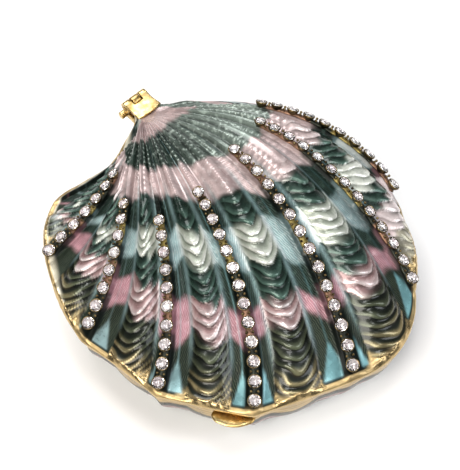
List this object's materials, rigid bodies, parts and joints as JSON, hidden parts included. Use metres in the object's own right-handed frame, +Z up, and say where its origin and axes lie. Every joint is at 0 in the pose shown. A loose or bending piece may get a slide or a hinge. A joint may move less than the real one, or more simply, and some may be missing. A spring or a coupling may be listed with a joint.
{
  "type": "shell box",
  "caption": "Hinged trinket box in the form of a scallop, with a ribbed domed lid, rows of set stones and a bowl-shaped base.",
  "frame": {"origin": "middle of the flat oval foot, on the surface that the box stands on", "axes": "+X along the hinge pin, -Y towards the opening lip, +Z up"},
  "size_m": [0.0657, 0.0741, 0.0291],
  "materials": {
    "enamelled_lid": "pearly enamel in green, pink, cream and blue bands over gold-plated castings",
    "enamelled_base": "pearly enamel outside, polished gold plating inside",
    "gold": "polished gold plating",
    "crystal": "clear cut stones in gold cups"
  },
  "bodies": {
    "base": {"base_shell": "enamelled_base", "base_hinge": "gold", "hinge_pin": "gold"},
    "lid": {"lid_shell": "enamelled_lid", "lid_hinge": "gold", "stone_row_a": "crystal", "stone_row_b": "crystal", "stone_row_c": "crystal", "stone_row_d": "crystal", "stone_row_e": "crystal", "stone_row_f": "crystal", "stone_row_g": "crystal"}
  },
  "joints": [
    {"name": "lid_opening", "type": "hinge", "parent": "base", "child": "lid", "pos_m": [0.0095, 0.0368, 0.0141], "axis": [-1, 0, 0], "range_deg": [0, 95]}
  ]
}
